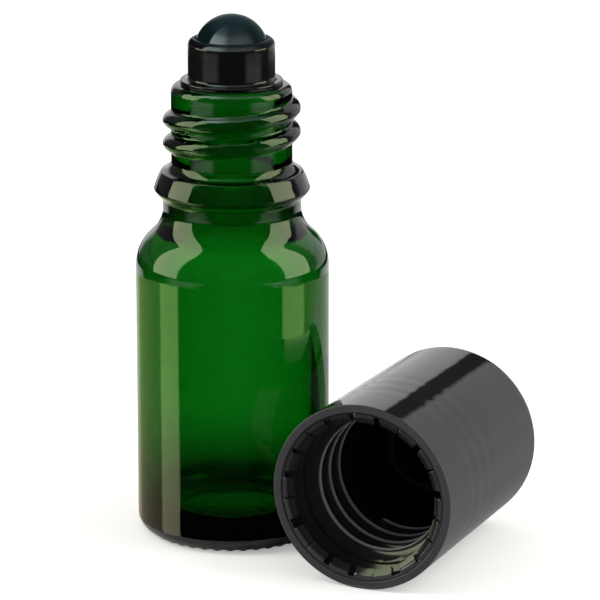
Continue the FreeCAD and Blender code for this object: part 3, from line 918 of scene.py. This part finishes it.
def make_flaps():
    band_inner = MOUTH_BORE - RING_WALL
    band = turned_mesh("flap_band", outline([
        (band_inner, RING_INSET),
        (MOUTH_BORE - RING_AIR, RING_INSET),
        (MOUTH_BORE - RING_AIR, RING_INSET + RING_HEIGHT),
        (band_inner, RING_INSET + RING_HEIGHT),
    ], PLASTIC_EDGE), BAND_AROUND)
    flaps = new_piece("mouth_flaps", flap_mesh(), CAP_BLACK)
    shaped(flaps, RING_OF_FLAPS, {
        "Count": FLAP_COUNT, "Lean": FLAP_LEAN, "Shortest": SHORTEST_FLAP, "Seed": FLAP_SEED,
        "Material": CAP_BLACK})
    joined = bmesh.new()
    joined.from_mesh(flaps.data)
    joined.from_mesh(band)
    joined.to_mesh(flaps.data)
    joined.free()
    bpy.data.meshes.remove(band)
    flaps.data.set_sharp_from_angle(angle=FLAP_CREASE)
    flaps.data.transform(cap_placement())
    return flaps


for piece, body, node, slot in (
    (make_bottle(), "bottle", "glass_bottle", "green_glass"),
    (make_plug(), "bottle", "neck_plug", "natural_plastic"),
    (make_housing(), "bottle", "roller_housing", "black_plastic"),
    (make_ball(), "ball", "roller_ball", "dark_ball"),
    (make_cap(), "cap", "cap", "black_plastic"),
    (make_flaps(), "cap", "flap_ring", "black_plastic"),
):
    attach(piece, body)
    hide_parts(node)


# Camera and stage, in metres

VIEW_AZIMUTH = math.radians(25)
VIEW_DISTANCE = 0.4646
VIEW_HEIGHT = 0.1585
VIEW_LENS = 226.6
AIM_RIGHT = 0.0086
AIM_HEIGHT = 0.0302

view_right = Vector((math.cos(VIEW_AZIMUTH), math.sin(VIEW_AZIMUTH), 0))
view_ahead = Vector((-math.sin(VIEW_AZIMUTH), math.cos(VIEW_AZIMUTH), 0))


def stage_place(right, ahead, height):
    """A place seen from the camera: to the right of the bottle, behind it, and above the floor."""
    return view_right * right + view_ahead * ahead + Vector((0, 0, height))


def make_camera():
    lens = bpy.data.cameras.new("camera")
    lens.lens = VIEW_LENS
    camera = bpy.data.objects.new("camera", lens)
    bpy.context.scene.collection.objects.link(camera)
    camera.location = stage_place(0, -VIEW_DISTANCE, VIEW_HEIGHT)
    aim = stage_place(AIM_RIGHT, 0, AIM_HEIGHT)
    camera.rotation_mode = "QUATERNION"
    camera.rotation_quaternion = (aim - camera.location).to_track_quat("-Z", "Y")
    bpy.context.scene.camera = camera


# Floor, cards and light

# What the pieces mirror: (degrees round the bottle from the camera's side, positive to the right; brightness;
# how green the light is)
NEAR_MAT = (
    (-180, 1.0, 0.5), (-152, 1.0, 0.5), (-147, 0.7, 1), (-98, 0.75, 1), (-95, 3.0, 1), (-70, 3.0, 1),
    (-67, 0.02, 0), (66, 0.02, 0), (76, 0.5, 0), (180, 0.6, 0))
MIDDLE_MAT = (
    (-180, 1.0, 0.5), (-152, 1.0, 0.5), (-147, 0.7, 1), (-98, 0.75, 1), (-95, 2.7, 1), (-70, 2.7, 1),
    (-67, 0.02, 0), (60, 0.02, 1), (63, 2.3, 1), (92, 2.3, 1), (96, 0.5, 1), (120, 0.6, 0.5), (180, 0.8, 0))
NECK_MAT = (
    (-180, 1.0, 0), (-138, 0.9, 0), (-130, 0.02, 0), (-88, 0.02, 0), (-76, 0.5, 0), (-50, 0.5, 0),
    (-42, 0.02, 0), (44, 0.02, 0), (52, 0.5, 0), (78, 0.5, 0), (90, 0.02, 0), (126, 0.02, 0),
    (134, 0.9, 0), (180, 1.0, 0))
HOUSING_MAT = (
    (-180, 0.3, 0), (-165, 0.01, 0), (-88, 0.01, 0), (-76, 0.65, 0), (-42, 0.7, 0), (-32, 0.02, 0),
    (34, 0.02, 0), (44, 0.7, 0), (78, 0.65, 0), (90, 0.01, 0), (165, 0.01, 0), (180, 0.3, 0))
FAR_MAT = (
    (-180, 0.85, 0), (-160, 0.8, 0), (-150, 0.03, 0), (110, 0.03, 0), (120, 0.7, 0), (180, 0.85, 0))
BALL_HOOD = (
    (-180, 0.45, 0), (-150, 0.35, 0), (-140, 0.01, 0), (-67, 0.01, 0), (-62, 3.7, 0), (-30, 3.4, 0),
    (-16, 1.9, 0), (-8, 0.95, 0), (30, 1.05, 0), (55, 0.6, 0), (75, 0.05, 0), (130, 0.2, 0), (180, 0.45, 0))
# The same for the sky, without the green
SKY = (
    (-180, 1.0), (-160, 1.0), (-150, 0.12), (-96, 0.12), (-60, 0.03), (55, 0.03), (97, 0.12), (118, 0.12),
    (126, 0.7), (154, 0.7), (155.5, 0.03), (166, 0.03), (167.5, 1.0), (180, 1.0))
BRIGHTEST = 2.0
SKY_TOP, SKY_SIDE = 0.87, 0.7
AMBIENT = 0.6

PLAIN_LIGHT = Vector((1, 1, 1))
GREEN_LIGHT = Vector((0.62, 1.0, 0.34))
WARM_LIGHT = Vector((0.88, 1.0, 0.62))
FOOT_LIGHT = Vector((0.62, 0.54, 0.39))
COOL_LIGHT = Vector((0.84, 1.0, 1.0))
TEAL_LIGHT = Vector((0.6, 1.0, 1.15))

FLOOR_HALF = 2.0
FLOOR_GLOW = 0.34
SHADE_REACH = 0.062
MAT_LIFT = 0.0004
MAT_EDGES = (0.002, 0.08, 0.127, 0.187, 0.3, 2.2)
HOOD_REACH = 0.0125
# The hood's tiers: (degrees above the ball's middle, share of the light round it, even light)
HOOD_TIERS = ((8, 0.9, 0), (28, 1.0, 0), (40, 0.85, 0.03), (52, 0.25, 0.14), (66, 0.08, 0.2), (90, 0, 0.2))
# The corners of a side panel: (behind the bottle, above the floor)
PANEL = ((-0.2, 0.0), (0.145, 0.0), (0.2, 0.6), (0.24, 0.8), (0.0, 1.35), (-0.22, 0.75))
PANEL_DISTANCE = 0.5
PANEL_RADIANCE = 3.6
RIGHT_PANEL_SHIFT = -0.04
SCREEN_GAP = 0.012
SCREEN_TOE = 0.002
SCREEN_FOOT, SCREEN_TOP = 0.0005, 0.0145
SCREEN_ENDS = (-0.018, 0.055)
SOFTBOX_DISTANCE = 0.5
SOFTBOX_FOOT, SOFTBOX_TOP = 0.03, 0.9
SOFTBOX_RADIANCE = 5.0


def level_around(tree, direction, levels):
    """A brightness by the direction round the bottle's axis, counted from the camera's side."""
    angle = tree.math("ARCTAN2", tree.dot(direction, view_right), tree.dot(direction, -view_ahead))
    ramp = tree.add("ShaderNodeValToRGB", {"Fac": tree.rise(angle, -math.pi, math.pi)})
    stops = ramp.color_ramp.elements
    stops.remove(stops[1])
    for number, (degrees, level) in enumerate(levels):
        place = degrees / 360 + 0.5
        share = level / BRIGHTEST
        stop = stops.new(place) if number else stops[0]
        stop.position = place
        stop.color = (share, share, share, 1)
    return tree.math("MULTIPLY", ramp.outputs["Color"], BRIGHTEST)


def floor_material():
    """Pale and matt and white to the camera, with a painted shadow round the foot that shows only where the
    floor is seen through the glass.
    """
    finish = Finish("pale_floor", roughness=0.9, specular_ior_level=0.0, emission_color=(1, 1, 1, 1))
    place = finish.add("ShaderNodeTexCoord").outputs["Object"]
    path = finish.add("ShaderNodeLightPath").outputs
    # Painted shadow: black round the bottle's foot, only for rays that come through the glass.
    radius = finish.vector("LENGTH", place)["Value"]
    near = finish.rise(radius, SHADE_REACH, BODY_RADIUS * MM, interpolation_type="SMOOTHERSTEP")
    shade = finish.math("MULTIPLY", near, path["Is Transmission Ray"])
    pale = finish.between(finish.noise(place, scale=40.0, detail=3.0), low=0.86, high=0.9)
    finish.give("Base Color", finish.mix(shade, pale, 0.0))
    finish.give("Emission Strength", finish.between(path["Is Camera Ray"], low=0.0, high=FLOOR_GLOW))
    finish.material.cycles.emission_sampling = "NONE"
    return finish.material


def make_floor():
    half = FLOOR_HALF
    mesh = bpy.data.meshes.new("floor")
    corners = [(-half, -half, 0), (half, -half, 0), (half, half, 0), (-half, half, 0)]
    mesh.from_pydata(corners, [], [(0, 1, 2, 3)])
    new_piece("floor", mesh, floor_material())


def card_material():
    """Glows with the colour that each point of a card carries."""
    finish = Finish("card", base_color=(0, 0, 0, 1), specular_ior_level=0.0, emission_strength=1.0)
    glow = finish.add("ShaderNodeAttribute", attribute_name="glow")
    finish.give("Emission Color", glow.outputs["Color"])
    finish.material.cycles.emission_sampling = "NONE"
    return finish.material


CARD = card_material()


def make_card(name, points, faces, colours):
    """A card beside the object that shows only in reflections."""
    mesh = bpy.data.meshes.new(name)
    mesh.from_pydata(points, [], faces)
    glow = mesh.attributes.new("glow", "FLOAT_COLOR", "POINT")
    for value, colour in zip(glow.data, colours):
        value.color = (*colour, 1)
    card = new_piece(name, mesh, CARD)
    card.visible_camera = False
    card.visible_diffuse = False
    card.visible_shadow = False
    card.visible_transmission = False


def strip_faces(count, rows):
    """The faces between neighbouring columns of points, each column with the same number of rows."""
    return [(c * rows + r, (c + 1) * rows + r, (c + 1) * rows + r + 1, c * rows + r + 1)
            for c in range(count - 1) for r in range(rows - 1)]


def spread(levels, step=5):
    """Directions in even small steps, with the brightness and the colour of the light from each."""
    rows = []
    for (first, low, green_low), (last, high, green_high) in zip(levels, levels[1:]):
        count = math.ceil((last - first) / step)
        for i in range(count + 1):
            share = i / count
            level = low + (high - low) * share
            light = PLAIN_LIGHT.lerp(GREEN_LIGHT, green_low + (green_high - green_low) * share)
            rows.append((math.radians(first + (last - first) * share), level, light * level))
    return rows


def make_mat(name, near, far, levels, near_light):
    """A mat on the floor, whose near end may have a light of its own.

    Its stripes run along the lines that the upright glass mirrors, so they stand upright there.
    """
    points, colours = [], []
    rows = spread(levels)
    for turn, level, colour in rows:
        side = turn / 2
        foot = stage_place(math.sin(side), -math.cos(side), 0) * BODY_RADIUS * MM + Vector((0, 0, MAT_LIFT))
        away = stage_place(math.sin(turn), -math.cos(turn), 0)
        points += [foot + away * near, foot + away * far]
        colours += [near_light * level if near_light else colour, colour]
    make_card(name, points, strip_faces(len(rows), 2), colours)


def make_mats():
    """Mats that follow one another outwards, each mirrored higher up on the bottle."""
    mats = (
        ("near_mat", NEAR_MAT, FOOT_LIGHT),
        ("middle_mat", MIDDLE_MAT, None),
        ("neck_mat", NECK_MAT, None),
        ("housing_mat", HOUSING_MAT, None),
        ("far_mat", FAR_MAT, None),
    )
    for (name, levels, near_light), near, far in zip(mats, MAT_EDGES, MAT_EDGES[1:]):
        make_mat(name, near, far, levels, near_light)


def make_hood():
    """A hood of glowing cards close round the ball, which keeps the studio's bright panels out of it and
    shows in the ball as painted reflections: bright patches and an even teal sheen.
    """
    points, colours = [], []
    rows = spread(BALL_HOOD)
    for turn, _, colour in rows:
        for degrees, share, even in HOOD_TIERS:
            lift = math.radians(degrees)
            flat = stage_place(math.sin(turn), -math.cos(turn), 0) * HOOD_REACH * math.cos(lift)
            points.append(flat + Vector((0, 0, BALL_CENTRE * MM + HOOD_REACH * math.sin(lift))))
            colours.append(colour * COOL_LIGHT * share + TEAL_LIGHT * even)
    make_card("ball_hood", points, strip_faces(len(rows), len(HOOD_TIERS)), colours)


def make_panel(name, side, shift):
    """A tall panel beside the bottle, mirrored on its shoulder and neck."""
    points = [stage_place(side * PANEL_DISTANCE, ahead + shift, height) for ahead, height in PANEL]
    make_card(name, points, [tuple(range(len(points)))], [WARM_LIGHT * PANEL_RADIANCE] * len(points))


def make_cap_screen():
    """A low screen with a foot on the floor, which evens out what the cap's right side mirrors."""
    axis = cap_placement().translation.x
    beside = axis + CAP_RADIUS * MM + SCREEN_GAP
    under = axis + SCREEN_TOE
    # The toe under the cap glows dimmer than the rest: a painted shadow that the cap's lower side mirrors.
    rows = ((under, SCREEN_FOOT, 0.2), (beside, SCREEN_FOOT, 0.55), (beside, SCREEN_TOP, 0.65))
    points, colours = [], []
    for end in SCREEN_ENDS:
        for across, height, level in rows:
            points.append((across, end, height))
            colours.append(PLAIN_LIGHT * level)
    make_card("cap_screen", points, strip_faces(len(SCREEN_ENDS), len(rows)), colours)


def make_softbox(name, first, last):
    """A tall softbox between two directions round the bottle, in degrees from the camera's side."""
    tall = SOFTBOX_TOP - SOFTBOX_FOOT
    wide = 2 * SOFTBOX_DISTANCE * math.tan(math.radians(last - first) / 2)
    lamp = bpy.data.lights.new(name, "AREA")
    lamp.shape = "RECTANGLE"
    lamp.size = wide
    lamp.size_y = tall
    lamp.energy = SOFTBOX_RADIANCE * math.pi * wide * tall
    lamp.color = (1.0, 0.96, 0.88)
    light = bpy.data.objects.new(name, lamp)
    bpy.context.scene.collection.objects.link(light)
    middle = math.radians((first + last) / 2)
    height = (SOFTBOX_FOOT + SOFTBOX_TOP) / 2
    right = SOFTBOX_DISTANCE * math.sin(middle)
    ahead = -SOFTBOX_DISTANCE * math.cos(middle)
    light.location = stage_place(right, ahead, height)
    light.rotation_mode = "QUATERNION"
    light.rotation_quaternion = (Vector((0, 0, height)) - light.location).to_track_quat("-Z", "Y")
    light.visible_glossy = False


def make_world():
    """White to the camera, even light for plain surfaces, and a dark front and top in reflections."""
    world = bpy.data.worlds.new("studio")
    bpy.context.scene.world = world
    world.use_nodes = True
    tree = Tree(world.node_tree)
    direction = tree.add("ShaderNodeTexCoord").outputs["Generated"]
    up = tree.add("ShaderNodeSeparateXYZ", {"Vector": direction}).outputs["Z"]
    around = level_around(tree, direction, SKY)
    mirrored = tree.math("MULTIPLY", around, tree.rise(up, SKY_TOP, SKY_SIDE))
    path = tree.add("ShaderNodeLightPath").outputs
    outside = tree.math("SUBTRACT", path["Is Glossy Ray"], path["Is Transmission Ray"], use_clamp=True)
    level = tree.mix(outside, AMBIENT, mirrored)
    plain = tree.math("MAXIMUM", path["Is Camera Ray"], path["Is Transmission Ray"])
    back = tree.tree.nodes["Background"]
    back.inputs["Color"].default_value = (1, 1, 1, 1)
    tree.put(back.inputs["Strength"], tree.math("MAXIMUM", level, plain))


make_camera()
make_floor()
make_mats()
make_panel("left_panel", side=-1, shift=0.0)
make_panel("right_panel", side=1, shift=RIGHT_PANEL_SHIFT)
make_hood()
make_cap_screen()
make_softbox("left_softbox", first=-95, last=-70)
make_softbox("right_softbox", first=63, last=92)
make_world()
bpy.context.scene.view_settings.view_transform = "Standard"
